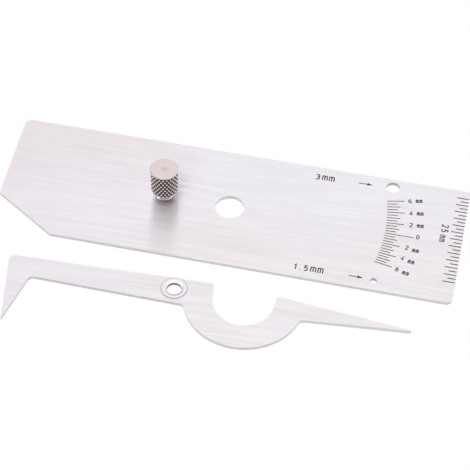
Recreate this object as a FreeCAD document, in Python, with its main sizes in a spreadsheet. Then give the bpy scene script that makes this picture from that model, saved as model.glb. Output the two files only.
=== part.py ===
import FreeCAD, Part
import math
import os
import Sketcher
from FreeCAD import Vector

# Undercut and crown height gauge, laid out flat as it is shown, in millimetres.
# The origin is on the hang hole's axis at the underside of the plate, X runs along the
# plate towards its graduated end, Y across it towards the far edge and Z up.

SIZES = {
    # plate
    "plate_length": 101.05,
    "plate_width": 31.8,
    "plate_thick": 0.8,
    "corner_radius": 1.4,
    "scale_corner_radius": 0.5,
    "hang_dia": 6.4,
    "hang_from_left": 50.4,
    "left_end_lean": 0.53,
    "bevel_along": 14.42,
    "bevel_across": 9.04,
    "pore_large_dia": 3.0,
    "pore_small_dia": 1.5,
    "pore_from_right": 16.85,
    "pore_from_edge": 2.4,
    "pivot_from_hang": 14.5,
    # thumb screw
    "thread_dia": 3.0,
    "thread_clearance": 0.02,
    "tip_above_underside": 0.1,
    "tip_bevel": 0.25,
    "head_above_plate": 0.6,
    "spigot_dia": 2.2,
    "spigot_length": 5.0,
    "spigot_clearance": 0.02,
    "seat_clearance": 0.03,
    "bore_end_clearance": 0.2,
    "knob_dia": 6.12,
    "knob_rim_dia": 5.8,
    "knob_foot_dia": 3.6,
    "knurl_starts": 22,
    "knurl_half_row_count": 9,
    "knurl_taper_half_row_count": 3,
    "knurl_row_height": 1.28,
    "knurl_depth": 0.24,
    "rim_height": 0.2,
    "foot_height": 0.3,
    # pointer
    "blade_thick": 0.8,
    "arm_above": 2.75,
    "arm_below_root": 2.16,
    "arm_below_crescent": 4.35,
    "hook_back": 36.05,
    "hook_root": 30.45,
    "hook_tip_back": 33.55,
    "hook_tip_drop": 14.2,
    "crescent_along": 14.82,
    "crescent_outer": 12.75,
    "crescent_inner": 6.5,
    "notch_drop": 0.55,
    "notch_wall_lean": 5.5,
    "needle_above_crescent": 2.71,
    "needle_below_crescent": 4.09,
    "needle_tip_along": 50.0,
    "needle_tip_drop": 2.08,
    "needle_tip_width": 0.24,
    "hook_radius": 1.35,
    "neck_radius": 1.1,
    "notch_radius": 0.7,
    # bush
    "barrel_dia": 4.2,
    "barrel_clearance": 0.03,
    "flange_dia": 5.6,
    "flange_thick": 0.12,
    "flange_clearance": 0.02,
    "bush_bore_dia": 3.1,
    "sink_dia": 4.0,
    "sink_depth": 0.23,
    # where the pointer lies, in front of the plate
    "lies_along": 6.56,
    "lies_ahead": 24.68,
    "lies_turned": 2.18,
}

doc = FreeCAD.newDocument("welding_inspection_gauge")
sheet = doc.addObject("Spreadsheet::Sheet", "Sizes")
for row, (alias, value) in enumerate(SIZES.items(), start=1):
    sheet.set("A%d" % row, alias)
    sheet.set("B%d" % row, str(value))
    sheet.setAlias("B%d" % row, alias)
doc.recompute()


def value_of(formula):
    """Number that a formula of the sheet's cells gives."""
    result = sheet.evalExpression(formula)
    return float(getattr(result, "Value", result))


def new_body(name):
    """Body whose label is the name of its node."""
    body = doc.addObject("PartDesign::Body", name)
    body.Label = name
    return body


def new_sketch(body, name, role="XY_Plane"):
    """Sketch lying on one of the body's own origin planes."""
    sketch = body.newObject("Sketcher::SketchObject", name)
    plane = [item for item in body.Origin.OriginFeatures if item.Role == role][0]
    sketch.AttachmentSupport = [(plane, "")]
    sketch.MapMode = "FlatFace"
    return sketch


def constrain(sketch, *parts, formula):
    """Constraint whose value follows a formula of the sheet's cells."""
    index = sketch.addConstraint(Sketcher.Constraint(*parts, value_of(formula)))
    sketch.setExpression("Constraints[%d]" % index, formula)


def hold_point(sketch, geometry, point, along, across):
    """Holds a point at its distances from the sketch's axes, or on the axis itself."""
    if along == "0":
        sketch.addConstraint(Sketcher.Constraint("PointOnObject", geometry, point, -2))
    else:
        constrain(sketch, "DistanceX", -1, 1, geometry, point, formula=along)
    if across == "0":
        sketch.addConstraint(Sketcher.Constraint("PointOnObject", geometry, point, -1))
    else:
        constrain(sketch, "DistanceY", -1, 1, geometry, point, formula=across)


def add_polygon(sketch, corners):
    """Closed outline of straight lines, each corner held by two formulas."""
    points = [Vector(value_of(along), value_of(across), 0) for along, across in corners]
    count = len(points)
    lines = []
    for index, point in enumerate(points):
        line = Part.LineSegment(point, points[(index + 1) % count])
        lines.append(sketch.addGeometry(line, False))
    for index, line in enumerate(lines):
        following = lines[(index + 1) % count]
        sketch.addConstraint(Sketcher.Constraint("Coincident", line, 2, following, 1))
    for line, (along, across) in zip(lines, corners):
        hold_point(sketch, line, 1, along, across)
    return lines


def add_circle(sketch, along, across, diameter):
    """Circle held by its centre and its diameter."""
    centre = Vector(value_of(along), value_of(across), 0)
    circle = Part.Circle(centre, Vector(0, 0, 1), value_of(diameter) / 2)
    index = sketch.addGeometry(circle, False)
    hold_point(sketch, index, 3, along, across)
    constrain(sketch, "Diameter", index, formula=diameter)


def add_arc_below(sketch, along, across, radius, lean):
    """Arc below its centre, whose ends lie lower than the centre by a lean in degrees."""
    middle = Vector(value_of(along), value_of(across), 0)
    tilt = math.radians(value_of(lean))
    round_edge = Part.Circle(middle, Vector(0, 0, 1), value_of(radius))
    arc = Part.ArcOfCircle(round_edge, math.pi + tilt, 2 * math.pi - tilt)
    bow = sketch.addGeometry(arc, False)
    hold_point(sketch, bow, 3, along, across)
    constrain(sketch, "Radius", bow, formula=radius)
    return bow, arc.StartPoint, arc.EndPoint


def add_half_disc(sketch, along, across, radius):
    """Half disc below its centre."""
    bow, left, right = add_arc_below(sketch, along, across, radius, "0")
    chord = sketch.addGeometry(Part.LineSegment(right, left), False)
    sketch.addConstraint(Sketcher.Constraint("Coincident", bow, 2, chord, 1))
    sketch.addConstraint(Sketcher.Constraint("Coincident", chord, 2, bow, 1))
    sketch.addConstraint(Sketcher.Constraint("Horizontal", chord))
    sketch.addConstraint(Sketcher.Constraint("PointOnObject", bow, 3, chord))


def add_round_notch(sketch, along, across, radius, lean, rim, half_mouth):
    """Round bottom whose walls lean outwards up to a level rim, held by half its width."""
    bow, left, right = add_arc_below(sketch, along, across, radius, lean)
    ends = [along + " + " + half_mouth, along + " - " + half_mouth]
    far_right, far_left = [Vector(value_of(end), value_of(rim), 0) for end in ends]
    corners = [right, far_right, far_left, left]
    walls = []
    for here, there in zip(corners[:-1], corners[1:]):
        walls.append(sketch.addGeometry(Part.LineSegment(here, there), False))
    sketch.addConstraint(Sketcher.Constraint("Tangent", bow, 2, walls[0], 1))
    sketch.addConstraint(Sketcher.Constraint("Coincident", walls[0], 2, walls[1], 1))
    sketch.addConstraint(Sketcher.Constraint("Coincident", walls[1], 2, walls[2], 1))
    sketch.addConstraint(Sketcher.Constraint("Tangent", walls[2], 2, bow, 1))
    for point, end in enumerate(ends, start=1):
        hold_point(sketch, walls[1], point, end, rim)


def pad(body, sketch, name, formula):
    """Pads a sketch upwards by a formula of the sheet's cells."""
    feature = body.newObject("PartDesign::Pad", name)
    feature.Profile = sketch
    feature.setExpression("Length", formula)
    sketch.Visibility = False
    doc.recompute()
    return feature


def cut_through(body, sketch, name):
    """Pockets a sketch upwards through the whole body and checks that it removed material."""
    before = body.Shape.Volume
    feature = body.newObject("PartDesign::Pocket", name)
    feature.Profile = sketch
    feature.Type = "ThroughAll"
    feature.Reversed = True
    sketch.Visibility = False
    doc.recompute()
    if body.Shape.Volume >= before:
        raise RuntimeError(name + " removes nothing")
    return feature


def revolve(body, sketch, name):
    """Turns a sketch of the XZ plane once round the Z axis."""
    feature = body.newObject("PartDesign::Revolution", name)
    feature.Profile = sketch
    feature.ReferenceAxis = (sketch, ["V_Axis"])
    feature.Angle = 360
    sketch.Visibility = False
    doc.recompute()
    return feature


def round_upright(body, base, name, spots, radius):
    """Rounds the upright edges that stand nearest to the given spots."""
    uprights = []
    for number, edge in enumerate(base.Shape.Edges, start=1):
        box = edge.BoundBox
        if max(box.XLength, box.YLength) < 0.001 < box.ZLength:
            uprights.append((number, box.Center))
    chosen = []
    for along, across in spots:
        near = min(uprights, key=lambda item: math.hypot(item[1].x - along, item[1].y - across))
        chosen.append("Edge%d" % near[0])
    feature = body.newObject("PartDesign::Fillet", name)
    feature.Base = (base, chosen)
    feature.setExpression("Radius", radius)
    doc.recompute()
    return feature


# Plate: one corner cut off, three corners rounded, a left end that leans, and four holes.
LEFT = "-Sizes.hang_from_left"
RIGHT = "Sizes.plate_length - Sizes.hang_from_left"
NEAR = "-Sizes.plate_width / 2"
FAR = "Sizes.plate_width / 2"

plate = new_body("gauge_plate")
outline = new_sketch(plate, "plate_outline")
plate_corners = [
    (LEFT + " + Sizes.bevel_along", NEAR),
    (RIGHT, NEAR),
    (RIGHT, FAR),
    (LEFT, FAR),
    (LEFT + " + Sizes.left_end_lean", NEAR + " + Sizes.bevel_across"),
]
add_polygon(outline, plate_corners)
sheet_metal = pad(plate, outline, "plate_sheet", "Sizes.plate_thick")
near_right, far_right, far_left = [
    (value_of(along), value_of(across)) for along, across in plate_corners[1:4]
]
rounds = round_upright(
    plate, sheet_metal, "plate_corners", [near_right, far_left], "Sizes.corner_radius")
round_upright(plate, rounds, "scale_corner", [far_right], "Sizes.scale_corner_radius")

PORE_ALONG = RIGHT + " - Sizes.pore_from_right"
PORE_ACROSS = "(" + FAR + " - Sizes.pore_from_edge)"
holes = new_sketch(plate, "plate_holes")
add_circle(holes, "0", "0", "Sizes.hang_dia")
add_circle(holes, PORE_ALONG, PORE_ACROSS, "Sizes.pore_large_dia")
add_circle(holes, PORE_ALONG, "-" + PORE_ACROSS, "Sizes.pore_small_dia")
add_circle(holes, "-Sizes.pivot_from_hang", "0", "Sizes.thread_dia")
cut_through(plate, holes, "holes")

# Thumb screw: a turned shank in the plate's tapped hole, its spigot inside the knurled head.
SEAT = "(Sizes.plate_thick + Sizes.head_above_plate - Sizes.seat_clearance)"
THREAD = "(Sizes.thread_dia / 2 - Sizes.thread_clearance)"
SPIGOT_TOP = SEAT + " + Sizes.spigot_length"

shank = new_body("screw_shank")
turned = new_sketch(shank, "shank_profile", "XZ_Plane")
add_polygon(turned, [
    ("0", "Sizes.tip_above_underside"),
    (THREAD + " - Sizes.tip_bevel", "Sizes.tip_above_underside"),
    (THREAD, "Sizes.tip_above_underside + Sizes.tip_bevel"),
    (THREAD, SEAT),
    ("Sizes.spigot_dia / 2", SEAT),
    ("Sizes.spigot_dia / 2", SPIGOT_TOP),
    ("0", SPIGOT_TOP),
])
revolve(shank, turned, "shank_turning")
shank.setExpression("Placement.Base.x", "-Sizes.pivot_from_hang")


def knurl_ring(height, crest, trough, shifted):
    """Ring of points that lie in turn in the knurl's trough and on its crest."""
    count = 2 * int(value_of("Sizes.knurl_starts"))
    ring = []
    for index in range(count):
        radius = crest if (index + shifted) % 2 else trough
        angle = 2 * math.pi * index / count
        ring.append(Vector(radius * math.cos(angle), radius * math.sin(angle), height))
    return ring


def ring_facets(lower, upper, shifted):
    """Flat facets between two rings, parted along the troughs that cross between them."""
    facets = []
    count = len(lower)
    for index in range(count):
        following = (index + 1) % count
        a, b = lower[index], lower[following]
        c, d = upper[following], upper[index]
        if (index + shifted) % 2 == 0:
            facets += [(a, b, c), (a, c, d)]
        else:
            facets += [(a, b, d), (b, c, d)]
    return facets


def diamond_knurl():
    """Knob whose side is a diamond knurl: two sets of crossing troughs that leave pyramids.

    The rings stand half a row apart and each is turned by half a diamond against the last,
    so the troughs run up the knob both ways round. The lowest follow the tapered foot.
    """
    crest = value_of("Sizes.knob_dia / 2")
    foot = value_of("Sizes.knob_foot_dia / 2")
    rim = value_of("Sizes.knob_rim_dia / 2")
    depth = value_of("Sizes.knurl_depth")
    step = value_of("Sizes.knurl_row_height / 2")
    base = value_of("Sizes.foot_height")
    taper = int(value_of("Sizes.knurl_taper_half_row_count"))
    straight = int(value_of("Sizes.knurl_half_row_count"))
    rings = [knurl_ring(0, foot - depth, foot - depth, 0)]
    for number in range(taper + straight + 1):
        share = min(1.0, number / taper) if taper else 1.0
        radius = foot + (crest - foot) * share
        rings.append(knurl_ring(base + number * step, radius, radius - depth, number % 2))
    top = base + (taper + straight) * step + value_of("Sizes.rim_height")
    rings.append(knurl_ring(top, rim, rim, 0))
    facets = []
    for number in range(len(rings) - 1):
        shifted = (number + 1) % 2 if number else 0
        facets += ring_facets(rings[number], rings[number + 1], shifted)
    facets.append(tuple(reversed(rings[0])))
    facets.append(tuple(rings[-1]))
    faces = [Part.Face(Part.makePolygon(list(facet) + [facet[0]])) for facet in facets]
    shell = Part.makeShell(faces)
    shell.sewShape()
    return Part.makeSolid(shell)


KNOB_FOOT = "Sizes.plate_thick + Sizes.head_above_plate"
blank = doc.addObject("Part::Feature", "knurled_blank")
blank.Shape = diamond_knurl()
blank.Placement.Base = Vector(value_of("-Sizes.pivot_from_hang"), 0, value_of(KNOB_FOOT))
bore = doc.addObject("Part::Cylinder", "spigot_bore")
bore.setExpression("Radius", "Sizes.spigot_dia / 2 + Sizes.spigot_clearance")
bore.setExpression("Height", "Sizes.spigot_length + 2 * Sizes.bore_end_clearance")
bore.setExpression("Placement.Base.x", "-Sizes.pivot_from_hang")
bore.setExpression("Placement.Base.z", KNOB_FOOT + " - Sizes.bore_end_clearance")
knob = doc.addObject("Part::Cut", "knurled_knob")
knob.Label = "knurled_knob"
knob.Base = blank
knob.Tool = bore
doc.recompute()

# Pointer: arm with its hook, crescent round the hang hole, and needle, drawn from the pivot.
CRESCENT_MIDDLE = ("Sizes.crescent_along", "0")
TIP_HIGH = "-Sizes.needle_tip_drop + Sizes.needle_tip_width / 2"
TIP_LOW = "-Sizes.needle_tip_drop - Sizes.needle_tip_width / 2"

blade = new_body("pointer_blade")
half_disc = new_sketch(blade, "crescent_outline")
add_half_disc(half_disc, *CRESCENT_MIDDLE, "Sizes.crescent_outer")
pad(blade, half_disc, "crescent_sheet", "Sizes.blade_thick")
arm = new_sketch(blade, "arm_outline")
arm_corners = [
    ("-Sizes.hook_tip_back", "-Sizes.hook_tip_drop"),
    ("-Sizes.hook_root", "-Sizes.arm_below_root"),
    ("Sizes.crescent_along", "-Sizes.arm_below_crescent"),
    ("Sizes.crescent_along", "Sizes.arm_above"),
    ("-Sizes.hook_back", "Sizes.arm_above"),
]
add_polygon(arm, arm_corners)
pad(blade, arm, "arm_sheet", "Sizes.blade_thick")
needle = new_sketch(blade, "needle_outline")
needle_corners = [
    ("Sizes.crescent_along", "-Sizes.needle_below_crescent"),
    ("Sizes.needle_tip_along", TIP_LOW),
    ("Sizes.needle_tip_along", TIP_HIGH),
    ("Sizes.crescent_along", "Sizes.needle_above_crescent"),
]
add_polygon(needle, needle_corners)
pad(blade, needle, "needle_sheet", "Sizes.blade_thick")


def notch_half_width(height):
    """Formula of half the notch's width between its leaning walls, at a height."""
    bottom = "Sizes.crescent_inner / cos(Sizes.notch_wall_lean)"
    return "(%s + (%s + Sizes.notch_drop) * tan(Sizes.notch_wall_lean))" % (bottom, height)


NOTCH_RIM = "(Sizes.arm_above + Sizes.crescent_inner)"
notch = new_sketch(blade, "notch_outline")
add_round_notch(
    notch, "Sizes.crescent_along", "-Sizes.notch_drop", "Sizes.crescent_inner",
    "Sizes.notch_wall_lean", NOTCH_RIM, notch_half_width(NOTCH_RIM))
cut_through(blade, notch, "notch")


def edge_at(corners, first, along):
    """Height of the outline's straight edge that starts at one corner, at a place along it."""
    start = [value_of(item) for item in corners[first]]
    end = [value_of(item) for item in corners[(first + 1) % len(corners)]]
    return start[1] + (end[1] - start[1]) * (along - start[0]) / (end[0] - start[0])


def neck_spot(corners, first, side):
    """Spot where a lower edge runs into the crescent's outer arc."""
    middle, level = [value_of(item) for item in CRESCENT_MIDDLE]
    outer = value_of("Sizes.crescent_outer")
    along = middle + side * outer
    for _ in range(20):
        across = edge_at(corners, first, along) - level
        along = middle + side * math.sqrt(outer ** 2 - across ** 2)
    return along, edge_at(corners, first, along)


notch_left = value_of("Sizes.crescent_along - " + notch_half_width("Sizes.arm_above"))
notch_right = value_of("Sizes.crescent_along + " + notch_half_width("Sizes.arm_above"))
hook_spots = [tuple(value_of(item) for item in arm_corners[number]) for number in (1, 4)]
neck_spots = [neck_spot(arm_corners, 1, -1), neck_spot(needle_corners, 0, 1)]
notch_spots = [
    (notch_left, value_of("Sizes.arm_above")),
    (notch_right, edge_at(needle_corners, 2, notch_right)),
]
rounds = round_upright(blade, blade.Tip, "hook_rounds", hook_spots, "Sizes.hook_radius")
rounds = round_upright(blade, rounds, "neck_rounds", neck_spots, "Sizes.neck_radius")
round_upright(blade, rounds, "notch_rounds", notch_spots, "Sizes.notch_radius")
pivot = new_sketch(blade, "pivot_hole")
add_circle(pivot, "0", "0", "Sizes.barrel_dia + 2 * Sizes.barrel_clearance")
cut_through(blade, pivot, "pivot_bore")

# Bush: a barrel in the pivot hole, a thin flange on the blade and a countersunk bore.
FLANGE_FOOT = "Sizes.blade_thick + Sizes.flange_clearance"
BUSH_TOP = FLANGE_FOOT + " + Sizes.flange_thick"

bush = new_body("pointer_bush")
ring = new_sketch(bush, "bush_profile", "XZ_Plane")
add_polygon(ring, [
    ("Sizes.bush_bore_dia / 2", "0"),
    ("Sizes.barrel_dia / 2", "0"),
    ("Sizes.barrel_dia / 2", FLANGE_FOOT),
    ("Sizes.flange_dia / 2", FLANGE_FOOT),
    ("Sizes.flange_dia / 2", BUSH_TOP),
    ("Sizes.sink_dia / 2", BUSH_TOP),
    ("Sizes.bush_bore_dia / 2", BUSH_TOP + " - Sizes.sink_depth"),
])
revolve(bush, ring, "bush_turning")

for piece in (blade, bush):
    piece.setExpression("Placement.Base.x", "-Sizes.lies_along")
    piece.setExpression("Placement.Base.y", "-Sizes.lies_ahead")
    piece.setExpression("Placement.Rotation.Angle", "Sizes.lies_turned")
doc.recompute()

for item in doc.Objects:
    if "Invalid" in item.State or "Error" in item.State:
        raise RuntimeError(item.Name + " failed")

pieces = [plate, shank, knob, blade, bush]
for piece in pieces:
    if piece.Shape.isNull() or not piece.Shape.isValid() or len(piece.Shape.Solids) != 1:
        raise RuntimeError(piece.Label + " is not one valid solid")

os.makedirs("parts", exist_ok=True)
for piece in pieces:
    piece.Shape.exportStep("parts/%s.step" % piece.Label)
    box = piece.Shape.BoundBox
    print(piece.Label, round(piece.Shape.Volume, 3), "mm3", [
        round(number, 2) for number in (box.XMin, box.XMax, box.YMin, box.YMax, box.ZMin, box.ZMax)
    ])
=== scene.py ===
import math
import bpy
import numpy as np
from mathutils import Matrix, Vector


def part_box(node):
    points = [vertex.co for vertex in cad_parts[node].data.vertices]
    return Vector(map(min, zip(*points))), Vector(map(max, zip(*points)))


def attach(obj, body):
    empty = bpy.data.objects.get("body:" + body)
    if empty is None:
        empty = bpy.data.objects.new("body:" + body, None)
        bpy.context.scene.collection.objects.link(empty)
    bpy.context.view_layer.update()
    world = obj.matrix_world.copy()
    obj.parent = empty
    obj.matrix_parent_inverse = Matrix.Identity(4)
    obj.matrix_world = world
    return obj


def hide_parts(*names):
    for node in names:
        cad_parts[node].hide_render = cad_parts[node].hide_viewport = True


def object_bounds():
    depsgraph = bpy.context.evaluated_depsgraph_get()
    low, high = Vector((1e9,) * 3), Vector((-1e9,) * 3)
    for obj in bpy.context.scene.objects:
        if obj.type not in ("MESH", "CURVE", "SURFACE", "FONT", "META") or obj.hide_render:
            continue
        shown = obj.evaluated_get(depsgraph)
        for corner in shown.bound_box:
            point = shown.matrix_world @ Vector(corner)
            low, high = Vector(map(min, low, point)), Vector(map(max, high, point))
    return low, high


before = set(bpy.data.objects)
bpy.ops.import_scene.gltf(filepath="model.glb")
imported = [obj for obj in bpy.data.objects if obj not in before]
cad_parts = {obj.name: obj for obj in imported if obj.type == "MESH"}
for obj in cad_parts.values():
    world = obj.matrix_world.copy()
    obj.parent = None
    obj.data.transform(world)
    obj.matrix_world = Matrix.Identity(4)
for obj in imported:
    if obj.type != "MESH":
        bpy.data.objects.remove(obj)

bl_info = {
    "name": "Weld Gauge Looks",
    "version": (1, 0, 0),
    "blender": (4, 5, 0),
    "location": "View3D > Sidebar > Weld Gauge",
    "description": "Finishes, thumb screw, bush and laser marks of a flat steel weld gauge",
    "category": "Object",
}

MM = 0.001
CAD_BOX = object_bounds()
PLATE_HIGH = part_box("gauge_plate")[1]
KNOB_LOW, KNOB_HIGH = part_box("knurled_knob")
SHANK_LOW, SHANK_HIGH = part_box("screw_shank")
BUSH_LOW, BUSH_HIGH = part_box("pointer_bush")


def linear(code):
    """Linear colour of an sRGB hex code such as #F0ECF1."""
    shares = [int(code[place:place + 2], 16) / 255 for place in (1, 3, 5)]
    return tuple(
        share / 12.92 if share <= 0.04045 else ((share + 0.055) / 1.055) ** 2.4
        for share in shares
    )


def colour(name, description, code):
    """Colour property whose default is an sRGB hex code."""
    return bpy.props.FloatVectorProperty(
        name=name, description=description, default=linear(code),
        subtype="COLOR", size=3, min=0, max=1)


def number(name, description, default, **limits):
    """Number property with its limits, subtype or unit."""
    return bpy.props.FloatProperty(
        name=name, description=description, default=default, **limits)


def factor(name, description, default):
    """Property between nought and one."""
    return number(name, description, default, min=0, max=1, subtype="FACTOR")


def length(name, description, millimetres):
    """Length property whose default is given in millimetres."""
    return number(name, description, millimetres * MM, subtype="DISTANCE", unit="LENGTH", min=0)


# What a user may change

class WeldGaugeStage(bpy.types.PropertyGroup):
    """Floor, light and camera."""
    floor_size: length("Floor size", "Side of the square floor", 8000)
    floor_colour: colour("Floor", "Colour of the paper that the gauge lies on", "#FFFFFF")
    shadow_share: factor("Shadow share", "How much of the real shadow the floor keeps", 0.06)
    sky: colour("Sky", "Light from above and from behind", "#FFFEFF")
    near_sky: colour("Near sky", "Darker light from low down on the camera's side", "#BAB4B3")
    left_sky: colour("Left sky", "Duller light from behind on the left", "#F4F0F2")
    zenith_loss: factor("Zenith loss", "How much darker the sky is overhead, by the softbox", 0.4)
    near_loss: factor("Near loss", "How much darker the sky gets down to the near horizon", 0.25)
    far_loss: factor("Far loss", "How much darker the sky gets down to the far horizon", 0.42)
    sky_strength: number("Sky strength", "Strength of the sky behind and above", 1.2, min=0)
    lamp_power: number("Lamp power", "Power of the softbox", 1.2, min=0, unit="POWER")
    lamp_size: length("Lamp size", "Side of the square softbox", 900)
    glint_power: number(
        "Glint power", "Power of each small lamp at the sides", 0.35, min=0, unit="POWER")
    glint_size: length("Glint lamp size", "Side of the small square lamps", 200)
    azimuth: number("Azimuth", "Turn of the camera round the gauge", -0.194438, subtype="ANGLE")
    elevation: number(
        "Elevation", "Height of the camera above the horizon", 0.862913, subtype="ANGLE")
    roll: number(
        "Roll", "Turn of the camera about its line of sight", 0.0214717, subtype="ANGLE")
    distance: length("Distance", "From the camera to the point that it looks at", 381.94)
    aim: bpy.props.FloatVectorProperty(
        name="Aim", description="Point that the camera looks at",
        default=(2.646 * MM, -6.86 * MM, 0), subtype="TRANSLATION", unit="LENGTH", size=3)
    lens: number("Lens", "Focal length on a 36 mm wide sensor", 136.15, min=1, unit="CAMERA")


class WeldGaugeSteel(bpy.types.PropertyGroup):
    """Sheet of the plate and the pointer."""
    face: colour("Face", "Brushed face of the sheet", "#F6F4F9")
    face_warm: colour("Warm patches", "Faint warm patches on the face", "#F4EFF1")
    cut_edge: colour("Cut edge", "Sawn and deburred edge of the sheet", "#F4F2F3")
    cut_edge_dark: colour("Cut edge streaks", "Darker streaks down the cut edge", "#E4E1E2")
    # Painted shade on the walls of the small holes.
    hole_wall_shade: colour("Hole wall shade", "Painted shade on the walls of the small holes", "#D3CDCC")
    hole_from_right: length(
        "Hole from the right", "From the comparison holes to the right edge", 16.85)
    hole_from_edge: length(
        "Hole from the edge", "From the comparison holes to the nearer long edge", 2.4)
    large_hole: length("Large hole", "Radius of the larger comparison hole", 1.5)
    small_hole: length("Small hole", "Radius of the smaller comparison hole", 0.75)
    patch_size: length("Patch size", "Width of the warm patches", 42)
    grain_width: length("Grain width", "Width of a brush line", 0.22)
    grain_length: length("Grain length", "Length of a brush line", 9.0)
    streak_width: length("Streak width", "Width of the coarser brush streaks", 0.55)
    streak_length: length("Streak length", "Length of the coarser brush streaks", 16.0)


class WeldGaugeScrew(bpy.types.PropertyGroup):
    """Thumb screw: knurled knob and threaded shank."""
    knurl_starts: bpy.props.IntProperty(
        name="Knurl starts", description="Diamonds round the knob", default=22, min=6, max=48)
    knurl_row: length("Knurl row", "Height of one diamond", 1.28)
    knurl_depth: length("Knurl depth", "From the crests to the bottom of the troughs", 0.26)
    straight_rows: number(
        "Straight rows", "Rows of diamonds above the tapered foot", 4.5, min=1, max=12)
    taper_rows: number(
        "Taper rows", "Rows of diamonds on the tapered foot", 1.5, min=0.5, max=6)
    foot_height: length("Foot band", "Plain band at the foot", 0.3)
    foot_radius: length("Foot radius", "Radius of the foot", 1.8)
    rim_bevel: length("Rim bevel", "Bevel round the top", 0.16)
    dish_radius: length("Dish radius", "Radius of the slightly hollow middle of the top", 1.1)
    top_ring_gap: length("Top ring gap", "Between the tool rings on the top", 0.28)
    bore_radius: length("Bore radius", "Radius of the knob's bore for the spigot", 1.12)
    spigot_radius: length("Spigot radius", "Radius of the shank's spigot", 1.1)
    shank_ring_gap: length("Shank ring gap", "Between the tool rings on the shank", 0.15)
    thread_pitch: length("Thread pitch", "Rise of the thread in one turn", 0.5)
    thread_depth: length("Thread depth", "Depth of the thread", 0.27)
    metal: colour("Top", "Faced top of the knob", "#D9D0CD")
    # Painted highlight: the crests, rim bevel and bead are lighter than the faced top.
    crest: colour("Crests", "Nickel plating lightened on the crests as a painted highlight", "#FBF4F1")
    facet: colour("Facets", "Sides of the diamonds", "#D4CAC5")
    # Oil and painted shade in the knurl's troughs.
    trough: colour("Troughs", "Oil and painted shade in the knurl's troughs", "#2E2520")
    # Painted shade on the shank under the knob.
    shank_shade: colour("Shank", "Painted shade on the threaded shank under the knob", "#4A3F3B")


class WeldGaugeBush(bpy.types.PropertyGroup):
    """Bush riveted into the pointer."""
    flange_radius: length("Flange radius", "Outer radius of the bush's flange", 2.8)
    barrel_radius: length("Barrel radius", "Radius of the bush inside the blade", 2.1)
    bore_radius: length("Bore radius", "Radius of the hole through the bush", 1.55)
    sink_radius: length("Countersink radius", "Radius of the countersink's mouth", 2.0)
    sink_depth: length("Countersink depth", "Depth of the countersink", 0.23)
    flange_thick: length("Flange thickness", "Height of the flange above the blade", 0.12)
    ring_gap: length("Ring gap", "Between the tool rings", 0.2)
    metal: colour("Metal", "Turned face of the bush", "#EDE9EC")
    # Painted shade where the flange meets the blade and in the bore.
    seam: colour("Seam", "Dark line where the flange meets the blade", "#7F7977")


class WeldGaugeMarks(bpy.types.PropertyGroup):
    """Laser marks on the plate."""
    mark: colour("Mark", "Dark annealed line that the laser leaves", "#483B3B")
    mark_pale: colour("Pale mark", "Where the line is fainter", "#685956")
    proud: length("Height", "How far a mark stands above the plate", 0.01)
    arc_width: length("Needle line width", "Width of the needle scale's lines", 0.2)
    tick_width: length("Rule line width", "Width of the edge rule's lines", 0.24)
    text_width: length("Stroke width", "Width of the labels' strokes", 0.27)
    figure_width: length("Figure stroke", "Width of the strokes of the scale's figures", 0.22)
    unit_width: length("Unit stroke", "Width of the strokes of the scale's unit letters", 0.2)
    scale_centre: bpy.props.FloatVectorProperty(
        name="Scale centre", description="Centre of the needle's scale, by the pivot",
        default=(-14.35 * MM, 0.15 * MM), subtype="TRANSLATION", unit="LENGTH", size=2)
    scale_radius: length("Scale radius", "From the pivot to the inner ends of the lines", 48.4)
    fan_shift: length("Fan shift", "How much nearer than the scale centre the lines meet", 6.2)
    hook_reach: length("Hook reach", "From the pivot to the hook tip", 36.85)
    zero_drop: length("Zero drop", "From the pivot down to the plate's lower edge", 15.9)
    figure_reach: length("Figure reach", "From the scale centre to its figures", 53.9)
    figure_height: length("Figure height", "Height of the scale's figures", 1.07)
    unit_height: length("Unit height", "Height of the letters beside the figures", 0.92)
    label_height: length("Label height", "Height of the labels' letters", 1.37)


# Meshes

def add_piece(name, points, faces, material, body, smooth=None):
    """Mesh object at the origin made from point and face arrays, riding on a CAD body."""
    mesh = bpy.data.meshes.new(name)
    mesh.from_pydata(np.asarray(points).tolist(), [], faces)
    mesh.update()
    if smooth is not None:
        mesh.polygons.foreach_set("use_smooth", np.ones(len(mesh.polygons), bool))
        mesh.set_sharp_from_angle(angle=smooth)
    if mesh.validate():
        raise RuntimeError(name + " had faces that Blender had to mend")
    mesh.materials.append(material)
    piece = bpy.data.objects.new(name, mesh)
    bpy.context.scene.collection.objects.link(piece)
    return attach(piece, body)


def turned_surface(radius, height, centre):
    """Points and faces of a surface turned about an upright axis.

    radius[i, j] and height[i] give place i along the profile at angle 2 pi j / columns, so
    x = centre + radius cos(angle), y = centre + radius sin(angle), z = height. A first or
    last radius of nought closes the surface in one point; otherwise the ends are joined.
    """
    rows, columns = radius.shape
    angle = 2 * math.pi * np.arange(columns) / columns
    grid = np.stack([
        centre[0] + radius * np.cos(angle),
        centre[1] + radius * np.sin(angle),
        np.broadcast_to(height[:, None], radius.shape),
    ], axis=-1)
    here = np.arange(columns)
    there = (here + 1) % columns
    if radius[0].max() > 0:
        below = (np.arange(rows) * columns)[:, None]
        above = (np.roll(np.arange(rows), -1) * columns)[:, None]
        quads = np.stack([below + here, below + there, above + there, above + here], axis=-1)
        return grid.reshape(-1, 3), quads.reshape(-1, 4).tolist()
    inner = grid[1:-1].reshape(-1, 3)
    points = np.vstack([grid[0, :1], inner, grid[-1, :1]])
    first = 1 + (np.arange(rows - 3) * columns)[:, None]
    quads = np.stack([
        first + here, first + there, first + columns + there, first + columns + here], axis=-1)
    last = 1 + (rows - 3) * columns
    foot = np.stack([np.zeros(columns, int), 1 + there, 1 + here], axis=-1)
    head = np.stack([last + here, last + there, np.full(columns, len(points) - 1)], axis=-1)
    return points, quads.reshape(-1, 4).tolist() + foot.tolist() + head.tolist()


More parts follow.
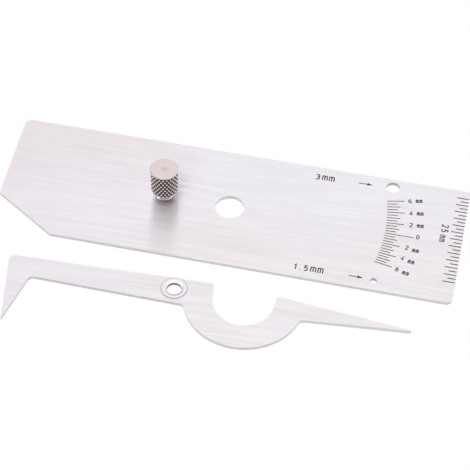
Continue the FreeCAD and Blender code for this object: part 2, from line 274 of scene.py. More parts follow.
def along_profile(corners, step):
    """Profile points not further than step apart between its corners, corners kept."""
    parts = []
    for start, end in zip(corners[:-1], corners[1:]):
        count = max(1, math.ceil(math.dist(start, end) / step))
        share = np.arange(count)[:, None] / count
        parts.append(np.array(start) + (np.array(end) - np.array(start)) * share)
    return np.vstack(parts + [np.array([corners[-1]])])


def ribbon(path, width, low, high, closed=False):
    """Points and faces of a flat bar of the given width that follows a path in the plane.

    Each path point is moved to both sides along the mitre of its two neighbouring runs, by
    half the width over the cosine of half the turn, at the low and at the high level.
    """
    path = np.asarray(path, float)
    count = len(path)
    runs = np.roll(path, -1, axis=0) - path
    if not closed:
        runs[-1] = runs[-2]
    runs /= np.linalg.norm(runs, axis=1)[:, None]
    before = np.roll(runs, 1, axis=0)
    if not closed:
        before[0] = runs[0]
    side = np.stack([-(runs + before)[:, 1], (runs + before)[:, 0]], axis=-1)
    side /= np.linalg.norm(side, axis=1)[:, None]
    across = side[:, 0] * -runs[:, 1] + side[:, 1] * runs[:, 0]
    offset = side * (width / 2 / np.maximum(across, 0.5))[:, None]
    level = np.full((count, 1), 1.0)
    ring = np.stack([
        np.hstack([path + offset, level * high]), np.hstack([path + offset, level * low]),
        np.hstack([path - offset, level * low]), np.hstack([path - offset, level * high]),
    ], axis=1)
    here = np.arange(count if closed else count - 1) * 4
    there = (here + 4) % (count * 4)
    sides = [
        np.stack([here + a, here + b, there + b, there + a], axis=-1)
        for a, b in ((0, 1), (1, 2), (2, 3), (3, 0))
    ]
    faces = np.vstack(sides).tolist()
    if not closed:
        tail = (count - 1) * 4
        faces += [[3, 2, 1, 0], [tail, tail + 1, tail + 2, tail + 3]]
    return ring.reshape(-1, 3), faces


def gather(shapes):
    """One point array and one face list out of several."""
    points, faces, start = [], [], 0
    for shape_points, shape_faces in shapes:
        points.append(shape_points)
        faces += [[index + start for index in face] for face in shape_faces]
        start += len(shape_points)
    return np.vstack(points), faces


# Figures and letters

def bow(centre, radii, start, end, count=14):
    """Points of an arc: centre plus the radii times cosine and sine of evenly spaced angles."""
    angle = np.radians(np.linspace(start, end, count))
    return np.stack([centre[0] + radii[0] * np.cos(angle),
                     centre[1] + radii[1] * np.sin(angle)], axis=-1)


def stroke_letters():
    """Strokes of each sign, one unit high: its advance, its width and (path, closed) pairs."""
    ring = bow((0.25, 0.5), (0.25, 0.5), 90, 450, 25)[:-1]
    bowl = bow((0.25, 0.3), (0.25, 0.3), 90, 450, 25)[:-1]
    arch = bow((0.21, 0.74), (0.19, 0.2), 180, 0, 9)
    two = np.vstack([bow((0.25, 0.73), (0.24, 0.27), 165, -35), [(0.0, 0.0), (0.5, 0.0)]])
    three = np.vstack([bow((0.25, 0.76), (0.23, 0.24), 155, -80),
                       bow((0.24, 0.27), (0.28, 0.27), 80, -155)])
    five = np.vstack([[(0.46, 1.0), (0.08, 1.0), (0.04, 0.58)],
                      bow((0.24, 0.32), (0.26, 0.32), 120, -145)])
    return {
        "0": (0.69, 0.5, [(ring, True)]),
        "1": (0.73, 0.43, [([(0.06, 0.76), (0.3, 1.0), (0.3, 0.0)], False)]),
        "2": (0.69, 0.5, [(two, False)]),
        "3": (0.69, 0.5, [(three, False)]),
        "4": (0.69, 0.5, [([(0.36, 0.0), (0.36, 1.0), (0.0, 0.3), (0.5, 0.3)], False)]),
        "5": (0.69, 0.5, [(five, False)]),
        "6": (0.69, 0.5, [(bowl, True), (bow((0.47, 0.36), (0.47, 0.64), 180, 100, 10), False)]),
        "m": (0.81, 0.81, [([(0.02, 0.0), (0.02, 0.94)], False),
                           (np.vstack([arch, [(0.4, 0.0)]]), False),
                           (np.vstack([arch + (0.38, 0), [(0.78, 0.0)]]), False)]),
        ".": (0.3, 0.0, [([(0.0, 0.0), (0.0, 0.12)], False)]),
    }


def write(text, centre, heading, height, width, level, squeeze=1.0):
    """Ribbons of a text centred on a point and running along a heading in the plane."""
    letters = stroke_letters()
    gap = 0.31
    run = np.array([math.cos(heading), math.sin(heading)])
    rise = np.array([-run[1], run[0]])
    places = np.cumsum([0.0] + [letters[sign][0] * squeeze + gap for sign in text[:-1]])
    reach = places[-1] + letters[text[-1]][1] * squeeze
    shapes = []
    for sign, place in zip(text, places):
        for path, closed in letters[sign][2]:
            path = np.asarray(path, float)
            along = (place + path[:, :1] * squeeze - reach / 2) * height
            spots = np.array(centre) + along * run + (path[:, 1:] - 0.5) * height * rise
            shapes.append(ribbon(spots, width, *level, closed=closed))
    return shapes


# Materials

def add_node(tree, kind, sockets=None, **settings):
    """Adds a node with its settings; a socket gets a value, or a link from another output."""
    made = tree.nodes.new(kind)
    for name, value in settings.items():
        setattr(made, name, value)
    for name, value in (sockets or {}).items():
        if isinstance(value, bpy.types.NodeSocket):
            tree.links.new(value, made.inputs[name])
        else:
            made.inputs[name].default_value = value
    return made


def ramp(tree, value, start, end, low=0.0, high=1.0, kind="LINEAR"):
    """Runs from low to high while a value runs from start to end, and stays there beyond."""
    made = add_node(tree, "ShaderNodeMapRange", {
        "Value": value, "From Min": start, "From Max": end, "To Min": low, "To Max": high,
    }, interpolation_type=kind)
    return made.outputs["Result"]


def maths(tree, operation, *values):
    """Result of one operation on sockets or numbers."""
    made = add_node(tree, "ShaderNodeMath", dict(enumerate(values)), operation=operation)
    return made.outputs[0]


def blend(tree, share, first, second, kind="MIX"):
    """Colour that goes from the first to the second one with the share."""
    made = add_node(tree, "ShaderNodeMix", {0: share, 6: first, 7: second},
                    data_type="RGBA", blend_type=kind)
    return made.outputs[2]


def noise(tree, place, scale, detail, roughness=0.5):
    """Noise between nought and one, whose lumps are one over the scale wide."""
    made = add_node(tree, "ShaderNodeTexNoise", {
        "Vector": place, "Scale": scale, "Detail": detail, "Roughness": roughness})
    return made.outputs["Fac"]


def stretched_noise(tree, place, size, detail, roughness=0.5):
    """Noise whose lumps have the given size along each axis."""
    lie = add_node(tree, "ShaderNodeMapping", {
        "Vector": place, "Scale": tuple(1 / width for width in size)})
    return noise(tree, lie.outputs["Vector"], 1.0, detail, roughness)


def tool_rings(tree, place, axis, ring_gap, weights=(1, 1, 1)):
    """Weighted distance from an axis point, and the wave of the tool rings round it.

    Real tool rings are too fine to show, so they are drawn coarser.
    """
    centred = add_node(tree, "ShaderNodeMapping", {
        "Vector": place, "Location": (-axis[0], -axis[1], 0)})
    weighted = add_node(tree, "ShaderNodeVectorMath", {
        0: centred.outputs["Vector"], 1: weights}, operation="MULTIPLY")
    away = add_node(tree, "ShaderNodeVectorMath", {0: weighted.outputs[0]}, operation="LENGTH")
    turn = maths(tree, "MULTIPLY", away.outputs["Value"], 2 * math.pi / ring_gap)
    return away.outputs["Value"], maths(tree, "SINE", turn)


def rgba(value):
    """Colour with an alpha of one."""
    return (*value, 1.0)


def empty_tree(owner):
    """Node tree of a new material or world, with nothing in it."""
    owner.use_nodes = True
    owner.node_tree.nodes.clear()
    return owner.node_tree


def start_material(name):
    """Empty node material: its tree, and the coordinates that its patterns read."""
    material = bpy.data.materials.new(name)
    tree = empty_tree(material)
    return material, tree, add_node(tree, "ShaderNodeTexCoord")


def end_material(tree, sockets):
    """Shows a principled shader with these sockets."""
    shader = add_node(tree, "ShaderNodeBsdfPrincipled", sockets)
    add_node(tree, "ShaderNodeOutputMaterial", {"Surface": shader.outputs["BSDF"]})


def brushed_sheet(name, steel, heading, small_holes=()):
    """Cold rolled stainless sheet, brushed along its length, with deburred cut edges.

    To the eye it is a near white satin face that smears reflections across the brush lines
    into long streaks, faintly warm in places, with duller and darker grey edges. Real brush
    lines are too fine to show, so they are drawn coarser.
    """
    material, tree, coordinates = start_material(name)
    place = coordinates.outputs["Object"]
    lie = add_node(tree, "ShaderNodeMapping", {"Vector": place, "Rotation": (0, 0, -heading)})
    lie = lie.outputs["Vector"]
    grain = stretched_noise(
        tree, lie, (steel.grain_length, steel.grain_width, 2 * MM), 3.0, 0.6)
    streaking = stretched_noise(
        tree, lie, (steel.streak_length, steel.streak_width, 2 * MM), 1.0)
    patches = noise(tree, place, 1 / steel.patch_size, 2.0)
    tint = blend(tree, ramp(tree, patches, 0.42, 0.68), rgba(steel.face), rgba(steel.face_warm))
    lined = add_node(tree, "ShaderNodeVectorMath", {
        0: tint, "Scale": ramp(tree, grain, 0.25, 0.75, 0.972, 1.012)}, operation="SCALE")
    # The cut edge is where the surface doesn't face up or down.
    facing = add_node(tree, "ShaderNodeSeparateXYZ", {"Vector": coordinates.outputs["Normal"]})
    on_edge = ramp(tree, maths(tree, "ABSOLUTE", facing.outputs["Z"]), 0.75, 0.45)
    saw_lines = stretched_noise(tree, place, (0.5 * MM, 0.5 * MM, 3 * MM), 2.0, 0.55)
    edge_tint = blend(tree, saw_lines, rgba(steel.cut_edge), rgba(steel.cut_edge_dark))
    # The walls of the small holes get a painted shade, darker than the cut edge.
    for x, y, radius in small_holes:
        away = add_node(tree, "ShaderNodeVectorMath", {
            0: place, 1: (x, y, PLATE_HIGH.z / 2)}, operation="DISTANCE")
        inside = ramp(tree, away.outputs["Value"], radius + 0.8 * MM, radius + 0.6 * MM)
        edge_tint = blend(tree, inside, edge_tint, rgba(steel.hole_wall_shade))
    # Smooth and rough streaks lie side by side, which only shows in the knob's reflection.
    face_rough = ramp(tree, streaking, 0.4, 0.6, 0.34, 0.41)
    rough = add_node(tree, "ShaderNodeMix", {0: on_edge, 2: face_rough, 3: 0.5})
    relief = add_node(tree, "ShaderNodeBump", {
        "Height": maths(tree, "MULTIPLY_ADD", streaking, 4.0, grain), "Strength": 1.0,
        "Distance": 0.01 * MM})
    # Reflections smear across the brush lines, and a little upwards on the cut edge.
    smear = add_node(tree, "ShaderNodeCombineXYZ", {
        "X": -math.sin(heading), "Y": math.cos(heading), "Z": 0.2})
    turn = add_node(tree, "ShaderNodeVectorTransform", {
        "Vector": smear.outputs["Vector"],
    }, vector_type="VECTOR", convert_from="OBJECT", convert_to="WORLD")
    end_material(tree, {
        "Base Color": blend(tree, on_edge, lined.outputs[0], edge_tint), "Metallic": 1.0,
        "Roughness": rough.outputs[0], "Anisotropic": 1.0,
        "Normal": relief.outputs["Normal"], "Tangent": turn.outputs["Vector"]})
    return material


def knurled_plating(screw, axis, top_height):
    """Turned and knurled steel with bright nickel plating.

    The knurl's crests carry a painted highlight, its troughs are dark brown with oil and painted
    shade, and the faced top is a warm pale grey with fine turning rings and a darker middle.
    """
    material, tree, coordinates = start_material("nickel_plated_knurled_steel")
    place = coordinates.outputs["Object"]
    trough = add_node(tree, "ShaderNodeAttribute", attribute_name="depth_and_shade").outputs["Fac"]
    away, wave = tool_rings(tree, place, axis, screw.top_ring_gap, (1, 1, 0))
    middle = ramp(tree, away, 0.0, screw.dish_radius, 0.84, 1.0, "SMOOTHSTEP")
    top = add_node(tree, "ShaderNodeVectorMath", {
        0: screw.metal, "Scale": maths(tree, "MULTIPLY_ADD", wave, 0.012, middle),
    }, operation="SCALE")
    upward = add_node(tree, "ShaderNodeSeparateXYZ", {"Vector": place})
    on_top = ramp(tree, upward.outputs["Z"], top_height - screw.rim_bevel, top_height - 0.06 * MM)
    # Painted highlight: below the faced top the plating takes the lighter crest colour.
    bright = blend(tree, on_top, rgba(screw.crest), top.outputs[0])
    side = blend(tree, ramp(tree, trough, 0.0, 0.3), bright, rgba(screw.facet))
    # Specks break up the border of the oil and painted shade in the troughs.
    specks = noise(tree, place, 1 / (0.35 * MM), 3.0)
    oil_and_shade = ramp(tree, maths(tree, "MULTIPLY_ADD", specks, 0.35, trough), 0.55, 0.95,
                kind="SMOOTHSTEP")
    relief = add_node(tree, "ShaderNodeBump", {
        "Height": wave, "Strength": 0.25, "Distance": 0.004 * MM})
    end_material(tree, {
        "Base Color": blend(tree, oil_and_shade, side, rgba(screw.trough)), "Metallic": 1.0,
        "Roughness": ramp(tree, trough, 0.0, 1.0, 0.2, 0.42),
        "Normal": relief.outputs["Normal"]})
    return material


def turned_steel(name, face, shade, axis, ring_gap):
    """Turned steel: a bright face with fine tool rings round its axis and painted shade on low
    spots.
    """
    material, tree, coordinates = start_material(name)
    wave = tool_rings(tree, coordinates.outputs["Object"], axis, ring_gap)[1]
    low = add_node(tree, "ShaderNodeAttribute", attribute_name="depth_and_shade")
    relief = add_node(tree, "ShaderNodeBump", {
        "Height": wave, "Strength": 0.3, "Distance": 0.003 * MM})
    end_material(tree, {
        "Base Color": blend(tree, low.outputs["Fac"], rgba(face), rgba(shade)),
        "Metallic": 1.0, "Roughness": ramp(tree, wave, -1.0, 1.0, 0.38, 0.48),
        "Normal": relief.outputs["Normal"]})
    return material


def laser_mark(marks):
    """Laser annealed mark on stainless steel: a matt brown oxide line, fainter in places.

    All marks share it, so it is made once.
    """
    name = "laser_annealed_oxide"
    if name in bpy.data.materials:
        return bpy.data.materials[name]
    material, tree, coordinates = start_material(name)
    burn = noise(tree, coordinates.outputs["Object"], 1 / (0.6 * MM), 2.0)
    tint = blend(tree, ramp(tree, burn, 0.4, 0.7), rgba(marks.mark), rgba(marks.mark_pale))
    end_material(tree, {
        "Base Color": tint, "Metallic": 0.0, "Roughness": 0.6, "Specular IOR Level": 0.2})
    return material


def mark_level(marks):
    """Bottom and top of a mark, which reaches a little into the plate so that no gap shows."""
    return PLATE_HIGH.z - 0.005 * MM, PLATE_HIGH.z + marks.proud


def dress(node, material):
    """Gives a CAD node its material in place of the plain one it came with."""
    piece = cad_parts[node]
    piece.data.materials.clear()
    piece.data.materials.append(material)


def set_depth_and_shade(piece, depth):
    """Stores each point's depth and painted shade, from nought on a crest to one in a trough."""
    attribute = piece.data.attributes.new("depth_and_shade", "FLOAT", "POINT")
    attribute.data.foreach_set("value", np.asarray(depth, np.float32))


# Operators

class WELDGAUGE_OT_stage(bpy.types.Operator):
    """Make the white floor, the soft light and the camera"""
    bl_idname = "weldgauge.stage"
    bl_label = "Stage"

    def execute(self, context):
        stage = context.scene.weld_gauge_stage
        self.add_floor(stage)
        self.light_world(context, stage)
        self.add_lamp("softbox", (-0.05, -0.15, 0.8), stage.lamp_size, stage.lamp_power)
        self.add_lamp("glint_right", (0.45, -0.16, 0.63), stage.glint_size, stage.glint_power)
        self.add_lamp("glint_left", (-0.6, -0.09, 0.51), stage.glint_size, stage.glint_power)
        self.add_camera(context, stage)
        context.scene.view_settings.view_transform = "Standard"
        return {"FINISHED"}

    def add_floor(self, stage):
        """Flat square under the plate: x and y each run over the floor's size."""
        half = stage.floor_size / 2
        corner = np.array([(-1, -1, 0), (1, -1, 0), (1, 1, 0), (-1, 1, 0)]) * half
        mesh = bpy.data.meshes.new("white_floor")
        mesh.from_pydata((corner + (0, 0, CAD_BOX[0].z - 0.02 * MM)).tolist(), [], [(0, 1, 2, 3)])
        floor = bpy.data.objects.new("white_floor", mesh)
        bpy.context.scene.collection.objects.link(floor)
        material = bpy.data.materials.new("matt_white_paper")
        tree = empty_tree(material)
        # The paper glows white to the camera and to mirrors, apart from a share of shadow.
        rays = add_node(tree, "ShaderNodeLightPath").outputs
        seen = maths(tree, "MAXIMUM", rays["Is Camera Ray"], rays["Is Glossy Ray"])
        seen = maths(tree, "MAXIMUM", seen, rays["Is Transmission Ray"])
        glowing = maths(tree, "MULTIPLY", seen, 1 - stage.shadow_share)
        paper = add_node(tree, "ShaderNodeBsdfDiffuse", {"Color": rgba(stage.floor_colour)})
        glow = add_node(tree, "ShaderNodeEmission", {
            "Color": rgba(stage.floor_colour), "Strength": 1.0})
        mix = add_node(tree, "ShaderNodeMixShader", {
            0: glowing, 1: paper.outputs["BSDF"], 2: glow.outputs["Emission"]})
        add_node(tree, "ShaderNodeOutputMaterial", {"Surface": mix.outputs["Shader"]})
        mesh.materials.append(material)

    def light_world(self, context, stage):
        """Sky that is greyer low down on the camera's side and a little duller on the left.

        Its strength falls towards the zenith and towards the horizon.
        """
        world = bpy.data.worlds.new("studio")
        tree = empty_tree(world)
        place = add_node(tree, "ShaderNodeTexCoord")
        way = add_node(tree, "ShaderNodeSeparateXYZ", {
            "Vector": place.outputs["Generated"]}).outputs
        low = ramp(tree, way["Z"], 0.7, 0.15, kind="SMOOTHSTEP")
        near = ramp(tree, way["Y"], -0.2, -0.75, kind="SMOOTHSTEP")
        left = ramp(tree, way["X"], -0.15, -0.24, kind="SMOOTHSTEP")
        tint = blend(tree, maths(tree, "MULTIPLY", low, near), rgba(stage.sky),
                     rgba(stage.near_sky))
        duller = blend(tree, left, (1, 1, 1, 1), rgba(stage.left_sky))
        sunk = ramp(tree, way["Z"], 0.85, 0.15)
        loss = ramp(tree, near, 0.0, 1.0, -stage.far_loss, -stage.near_loss)
        level = maths(tree, "MULTIPLY_ADD", sunk, loss, 1.0)
        overhead = ramp(tree, way["Z"], 0.8, 0.97, stage.sky_strength,
                        stage.sky_strength * (1 - stage.zenith_loss))
        sky = add_node(tree, "ShaderNodeBackground", {
            "Color": blend(tree, 1.0, tint, duller, "MULTIPLY"),
            "Strength": maths(tree, "MULTIPLY", level, overhead)})
        # Only the camera sees plain white beyond the floor.
        white = add_node(tree, "ShaderNodeBackground", {"Color": (1, 1, 1, 1), "Strength": 1.0})
        rays = add_node(tree, "ShaderNodeLightPath")
        seen = add_node(tree, "ShaderNodeMixShader", {
            0: rays.outputs["Is Camera Ray"], 1: sky.outputs["Background"],
            2: white.outputs["Background"]})
        add_node(tree, "ShaderNodeOutputWorld", {"Surface": seen.outputs["Shader"]})
        context.scene.world = world

    def add_lamp(self, name, place, size, power):
        """Square lamp that looks at the gauge: a wide one overhead, small ones at the sides."""
        light = bpy.data.lights.new(name, "AREA")
        light.shape = "SQUARE"
        light.size = size
        light.energy = power
        lamp = bpy.data.objects.new(name, light)
        lamp.location = place
        lamp.rotation_euler = (-lamp.location).to_track_quat("-Z", "Y").to_euler()
        bpy.context.scene.collection.objects.link(lamp)

    def add_camera(self, context, stage):
        """Camera looking at its aim from the azimuth, elevation and roll."""
        azimuth, elevation, roll = stage.azimuth, stage.elevation, stage.roll
        back = Vector((-math.sin(azimuth) * math.cos(elevation),
                       -math.cos(azimuth) * math.cos(elevation), math.sin(elevation)))
        right = Vector((math.cos(azimuth), -math.sin(azimuth), 0))
        up = back.cross(right)
        across = right * math.cos(roll) + up * math.sin(roll)
        upward = up * math.cos(roll) - right * math.sin(roll)
        place = Matrix((across, upward, back)).transposed().to_4x4()
        place.translation = Vector(stage.aim) + back * stage.distance
        lens = bpy.data.cameras.new("camera")
        lens.sensor_width = 36
        lens.lens = stage.lens
        lens.clip_start = 0.01
        camera = bpy.data.objects.new("camera", lens)
        camera.matrix_world = place
        context.scene.collection.objects.link(camera)
        context.scene.camera = camera


class WELDGAUGE_OT_plate(bpy.types.Operator):
    """Finish the plate as brushed stainless sheet"""
    bl_idname = "weldgauge.plate"
    bl_label = "Plate"

    def execute(self, context):
        steel = context.scene.weld_gauge_steel
        along = PLATE_HIGH.x - steel.hole_from_right
        across = PLATE_HIGH.y - steel.hole_from_edge
        holes = ((along, across, steel.large_hole), (along, -across, steel.small_hole))
        dress("gauge_plate", brushed_sheet("brushed_stainless_plate", steel, 0.0, holes))
        return {"FINISHED"}


class WELDGAUGE_OT_pointer(bpy.types.Operator):
    """Finish the pointer as brushed stainless sheet"""
    bl_idname = "weldgauge.pointer"
    bl_label = "Pointer"

    def execute(self, context):
        steel = context.scene.weld_gauge_steel
        arm_heading = math.radians(2.18)
        dress("pointer_blade", brushed_sheet("brushed_stainless_pointer", steel, arm_heading))
        return {"FINISHED"}


class WELDGAUGE_OT_bush(bpy.types.Operator):
    """Make the turned bush of the pointer"""
    bl_idname = "weldgauge.bush"
    bl_label = "Bush"

    def execute(self, context):
        bush = context.scene.weld_gauge_bush
        centre = (BUSH_LOW + BUSH_HIGH) / 2
        top = BUSH_HIGH.z
        foot = BUSH_LOW.z
        seat = top - bush.flange_thick
        soft = 0.04 * MM
        corners = [
            (bush.bore_radius, top - bush.sink_depth),
            (bush.bore_radius, foot + soft),
            (bush.bore_radius + soft, foot),
            (bush.barrel_radius - soft, foot),
            (bush.barrel_radius, foot + soft),
            (bush.barrel_radius, seat),
            (bush.flange_radius - soft, seat),
            (bush.flange_radius, seat + soft / 2),
            (bush.flange_radius, top - soft * 1.5),
            (bush.flange_radius - soft, top - soft / 2),
            (bush.flange_radius - 2 * soft, top),
            (bush.sink_radius + soft, top),
            (bush.sink_radius, top - soft / 2),
            (bush.bore_radius, top - bush.sink_depth),
        ]
        profile = along_profile(corners, 0.1 * MM)[:-1]
        radius = np.repeat(profile[:, :1], 128, axis=1)
        points, faces = turned_surface(radius, profile[:, 1], centre)
        material = turned_steel(
            "turned_stainless_bush", bush.metal, bush.seam, centre, bush.ring_gap)
        piece = add_piece("bush_ring", points, faces, material, "bush", math.radians(35))
        # Painted shade: grey where the rolled flange meets the blade, dark in the bore below the
        # countersink.
        away = np.hypot(points[:, 0] - centre.x, points[:, 1] - centre.y)
        seam = 0.7 * np.clip((away - bush.flange_radius) / (0.05 * MM) + 3, 0, 1)
        wall = np.clip((top - bush.sink_depth - points[:, 2]) / (0.02 * MM) + 0.5, 0, 1)
        set_depth_and_shade(piece, np.maximum(seam, wall))
        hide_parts("pointer_bush")
        return {"FINISHED"}


class WELDGAUGE_OT_knob(bpy.types.Operator):
    """Make the diamond knurled knob"""
    bl_idname = "weldgauge.knob"
    bl_label = "Knurled knob"

    def execute(self, context):
        screw = context.scene.weld_gauge_screw
        centre = (KNOB_LOW + KNOB_HIGH) / 2
        crest = (KNOB_HIGH.x - KNOB_LOW.x) / 2
        foot, top = KNOB_LOW.z, KNOB_HIGH.z
        per_diamond = 12
        start = foot + screw.foot_height
        taper_top = start + screw.taper_rows * screw.knurl_row
        knurl_top = taper_top + screw.straight_rows * screw.knurl_row
        rim = crest - screw.rim_bevel
        bore_end = SHANK_HIGH.z + 0.2 * MM
        under = along_profile([
            (0, bore_end), (screw.bore_radius, bore_end), (screw.bore_radius, foot),
            (screw.foot_radius - 0.2 * MM, foot),
        ], 0.5 * MM)
        # The plain band at the foot is a rounded bead that catches the light.
        lift = np.array([0.1, 0.25, 0.4, 0.55, 0.7, 0.85])[:, None]
        bead = np.hstack([
            screw.foot_radius + (0.1 - (lift - 0.4) ** 2) * MM,
            foot + lift * screw.foot_height])
        under = np.vstack([under, bead])
        rows = round((screw.taper_rows + screw.straight_rows) * per_diamond)
        height = np.linspace(start, knurl_top, rows + 1)
        rise = np.clip((height - start) / (taper_top - start), 0, 1)
        side = np.stack([screw.foot_radius + (crest - screw.foot_radius) * rise, height], axis=-1)
        turn = np.radians(np.array([15, 35, 55, 75]))[:, None]
        shoulder = np.hstack([rim + screw.rim_bevel * np.cos(turn),
                              top - screw.rim_bevel + screw.rim_bevel * np.sin(turn)])
        # The middle of the top is 0.03 mm hollow.
        face = along_profile([
            (rim, top), (screw.dish_radius, top), (0.45 * MM, top - 0.012 * MM),
            (0, top - 0.03 * MM),
        ], 0.12 * MM)
        over = np.vstack([shoulder, face])
        profile = np.vstack([under, side, over])
        columns = screw.knurl_starts * per_diamond
        round_share = np.arange(columns) / per_diamond
        up_share = (profile[:, 1] - start) / screw.knurl_row
        # A trough lies wherever the turn plus or minus the rise is a whole number; between
        # the troughs of both ways the surface rises to a crest with a small flat.
        right = round_share[None, :] + up_share[:, None]
        left = round_share[None, :] - up_share[:, None]
        rise_right = 1 - np.abs(2 * (right % 1.0) - 1)
        rise_left = 1 - np.abs(2 * (left % 1.0) - 1)
        steepness = 1.18
        depth = 1 - np.minimum(1, steepness * np.minimum(rise_right, rise_left))
        on_side = np.zeros(len(profile))
        on_side[len(under):len(under) + len(side)] = 1
        depth = depth * on_side[:, None]
        radius = profile[:, :1] - depth * screw.knurl_depth
        points, faces = turned_surface(radius, profile[:, 1], centre)
        material = knurled_plating(screw, centre, top)
        piece = add_piece("knob_knurled", points, faces, material, "knob", math.radians(28))
        # Painted shade on the lower half of the bead, which faces down under the knob.
        underside_shade = np.zeros(len(profile))
        underside_shade[len(under) - len(bead):len(under)] = np.clip((0.55 - lift[:, 0]) / 0.2, 0, 1)
        inner = np.maximum(depth, underside_shade[:, None])[1:-1].ravel()
        set_depth_and_shade(piece, np.concatenate([[0.0], inner, [0.0]]))
        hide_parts("knurled_knob")
        return {"FINISHED"}


class WELDGAUGE_OT_shank(bpy.types.Operator):
    """Make the threaded shank of the thumb screw"""
    bl_idname = "weldgauge.shank"
    bl_label = "Threaded shank"

    def execute(self, context):
        screw = context.scene.weld_gauge_screw
        centre = (SHANK_LOW + SHANK_HIGH) / 2
        major = (SHANK_HIGH.x - SHANK_LOW.x) / 2
        minor = major - screw.thread_depth
        tip, top = SHANK_LOW.z, SHANK_HIGH.z
        shoulder = KNOB_LOW.z - 0.03 * MM
        tip_bevel, runout = 0.25 * MM, 0.1 * MM
        rows, columns = 80, 96
        steepness = 1.15
        height = np.linspace(tip, shoulder, rows)
        # The thread is a V groove whose place along the axis turns with the angle, and it
        # runs out into the bevelled tip and into the shoulder under the knob.
        turn = np.arange(columns) / columns
        place = (height[:, None] - tip) / screw.thread_pitch - turn[None, :]
        groove = np.abs(2 * (place % 1.0) - 1)
        end = np.minimum((height - tip) / tip_bevel, (shoulder - height) / runout)
        end = np.clip(end, 0, 1)[:, None]
        thread = minor + (major - minor) * np.clip(steepness * groove, 0, 1) * end
        spigot_part = along_profile([
            (screw.spigot_radius, shoulder), (screw.spigot_radius, top), (0, top)], 0.6 * MM)
        radius = np.vstack([
            np.zeros((1, columns)), thread, np.repeat(spigot_part[:, :1], columns, axis=1)])
        heights = np.concatenate([[tip], height, spigot_part[:, 1]])
        points, faces = turned_surface(radius, heights, centre)
        material = turned_steel(
            "turned_nickel_thread", screw.metal, screw.shank_shade, centre, screw.shank_ring_gap)
        piece = add_piece("shank_threaded", points, faces, material, "shank", math.radians(30))
        # Painted shade on the shank: at least 0.6 of the shade colour, all of it towards the
        # thread's troughs.
        away = np.hypot(points[:, 0] - centre.x, points[:, 1] - centre.y)
        set_depth_and_shade(piece, np.clip(0.6 + (major - away) / (major - minor), 0, 1))
        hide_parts("screw_shank")
        return {"FINISHED"}


class WELDGAUGE_OT_arc_scale(bpy.types.Operator):
    """Mark the needle's scale, six millimetres up and six down"""
    bl_idname = "weldgauge.arc_scale"
    bl_label = "Needle scale"

    def execute(self, context):
        marks = context.scene.weld_gauge_marks
        level = mark_level(marks)
        middle = np.array(marks.scale_centre)
        # The needle's angle for a reading is that of the hook tip, which swings about the
        # pivot: its sine is the tip's drop below the pivot over the hook's reach.
        half_steps = np.arange(-12, 13)
        angle = np.arcsin((marks.zero_drop + half_steps / 2 * MM) / marks.hook_reach)
        angle -= math.asin(marks.zero_drop / marks.hook_reach)
        zero, even, whole, half = 6.3, 3.8, 2.9, 2.3
        span = np.select([half_steps == 0, half_steps % 4 == 0, half_steps % 2 == 0],
                         [zero, even, whole], half)
        fan = middle + (marks.fan_shift, 0)
        way = middle + np.stack([np.cos(angle), np.sin(angle)], axis=-1) * marks.scale_radius - fan
        way /= np.linalg.norm(way, axis=1)[:, None]
        inner = fan + way * (marks.scale_radius - marks.fan_shift)
        outer = inner + way * span[:, None] * MM
        lines = [
            ribbon(np.stack(ends), marks.arc_width, *level) for ends in zip(inner, outer)]
        material = laser_mark(marks)
        add_piece("needle_scale_lines", *gather(lines), material, "plate")
        # Each figure leads its line by a small angle, and they draw in towards the ends. The
        # nought stands further out, and each unit stands beyond its figure.
        draw_in, zero_step, unit_step = 0.045 * MM, 1.6 * MM, 1.97 * MM
        leads = (-0.0036, 0.001, 0.002, 0.0066, 0.003, 0.003, 0.003)
        signs = []
        for count, lead in zip(range(-12, 13, 4), leads):
            side = np.sign(count)
            place = angle[count + 12] + lead
            reach = marks.figure_reach - abs(count) * draw_in
            if count == 0:
                reach += zero_step
            spot = middle + reach * np.array([math.cos(place), math.sin(place)])
            signs += write(str(abs(count) // 2), spot, place, marks.figure_height,
                           marks.figure_width, level)
            if count:
                place += min(0.0, 0.007 * side)
                reach += unit_step
                spot = middle + reach * np.array([math.cos(place), math.sin(place)])
                signs += write(
                    "mm", spot, place, marks.unit_height, marks.unit_width, level, 0.68)
        add_piece("needle_scale_figures", *gather(signs), material, "plate")
        return {"FINISHED"}


class WELDGAUGE_OT_edge_rule(bpy.types.Operator):
    """Mark the 1 mm rule on the right edge and its length"""
    bl_idname = "weldgauge.edge_rule"
    bl_label = "Edge rule"

    def execute(self, context):
        marks = context.scene.weld_gauge_marks
        level = mark_level(marks)
        right = PLATE_HIGH.x - 0.03 * MM
        tick = np.arange(25)
        first, long, short = 13.7, 2.7, 1.8
        across = (first - tick) * MM
        span = np.where(tick % 2 == 0, long, short) * MM
        lines = [
            ribbon([(right - reach, place), (right, place)], marks.tick_width, *level)
            for reach, place in zip(span, across)]
        material = laser_mark(marks)
        add_piece("edge_rule_lines", *gather(lines), material, "plate")
        down = -math.pi / 2
        figure_height, unit_height = 1.3 * MM, 1.15 * MM
        figure_width, unit_width = 0.26 * MM, 0.21 * MM
        signs = write("25", (46.55 * MM, 4.25 * MM), down, figure_height, figure_width, level)
        signs += write("mm", (46.3 * MM, 1.35 * MM), down, unit_height, unit_width, level, 0.85)
        add_piece("edge_rule_length", *gather(signs), material, "plate")
        return {"FINISHED"}


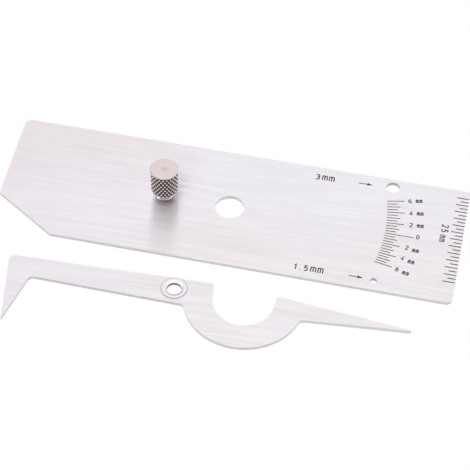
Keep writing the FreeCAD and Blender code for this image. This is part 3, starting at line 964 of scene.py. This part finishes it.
class WELDGAUGE_OT_hole_labels(bpy.types.Operator):
    """Mark the widths of the two comparison holes, each with its arrow"""
    bl_idname = "weldgauge.hole_labels"
    bl_label = "Hole labels"

    def execute(self, context):
        marks = context.scene.weld_gauge_marks
        level = mark_level(marks)
        material = laser_mark(marks)
        # Each row has the middle of its text and the tail of its arrow, in millimetres.
        rows = [
            ("large_hole_label", "3mm", (18.78, 13.03), (26.2, 13.25)),
            ("small_hole_label", "1.5mm", (19.85, -13.24), (28.42, -13.16)),
        ]
        shaft_width = 0.21 * MM
        for name, text, middle, tail in rows:
            signs = write(text, np.array(middle) * MM, 0.0, marks.label_height,
                          marks.text_width, level)
            shaft_end, head_start = tail[0] + 2.1, tail[0] + 1.9
            shaft = np.array([tail, (shaft_end, tail[1])]) * MM
            signs.append(ribbon(shaft, shaft_width, *level))
            signs.append(self.arrow_head(head_start, tail[1], level))
            add_piece(name, *gather(signs), material, "plate")
        return {"FINISHED"}

    def arrow_head(self, tail, middle, level):
        """Flat triangle with its base at the tail and its tip 1.2 mm further along."""
        flat = np.array([(tail, middle - 0.4), (tail + 1.2, middle), (tail, middle + 0.4)]) * MM
        ring = np.vstack([np.hstack([flat, np.full((3, 1), height)]) for height in level])
        faces = [[2, 1, 0], [3, 4, 5], [0, 1, 4, 3], [1, 2, 5, 4], [2, 0, 3, 5]]
        return ring, faces


PIECES = (
    WELDGAUGE_OT_stage,
    WELDGAUGE_OT_plate,
    WELDGAUGE_OT_pointer,
    WELDGAUGE_OT_bush,
    WELDGAUGE_OT_knob,
    WELDGAUGE_OT_shank,
    WELDGAUGE_OT_arc_scale,
    WELDGAUGE_OT_edge_rule,
    WELDGAUGE_OT_hole_labels,
)
SETTINGS = {
    "weld_gauge_stage": WeldGaugeStage,
    "weld_gauge_steel": WeldGaugeSteel,
    "weld_gauge_screw": WeldGaugeScrew,
    "weld_gauge_bush": WeldGaugeBush,
    "weld_gauge_marks": WeldGaugeMarks,
}


class WELDGAUGE_PT_pieces(bpy.types.Panel):
    """Lists the pieces of the gauge and their settings"""
    bl_idname = "WELDGAUGE_PT_pieces"
    bl_label = "Weld Gauge"
    bl_space_type = "VIEW_3D"
    bl_region_type = "UI"
    bl_category = "Weld Gauge"

    def draw(self, context):
        layout = self.layout
        for piece in PIECES:
            layout.operator(piece.bl_idname)
        for name, group in SETTINGS.items():
            box = layout.box()
            for setting in group.__annotations__:
                box.prop(getattr(context.scene, name), setting)


def register():
    for group in SETTINGS.values():
        bpy.utils.register_class(group)
    for name, group in SETTINGS.items():
        setattr(bpy.types.Scene, name, bpy.props.PointerProperty(type=group))
    for piece in (*PIECES, WELDGAUGE_PT_pieces):
        bpy.utils.register_class(piece)


def unregister():
    for piece in reversed((*PIECES, WELDGAUGE_PT_pieces)):
        bpy.utils.unregister_class(piece)
    for name, group in SETTINGS.items():
        delattr(bpy.types.Scene, name)
        bpy.utils.unregister_class(group)


def main():
    register()
    bpy.ops.weldgauge.stage()
    bpy.ops.weldgauge.plate()
    bpy.ops.weldgauge.pointer()
    bpy.ops.weldgauge.bush()
    bpy.ops.weldgauge.knob()
    bpy.ops.weldgauge.shank()
    bpy.ops.weldgauge.arc_scale()
    bpy.ops.weldgauge.edge_rule()
    bpy.ops.weldgauge.hole_labels()


if __name__ == "__main__":
    main()
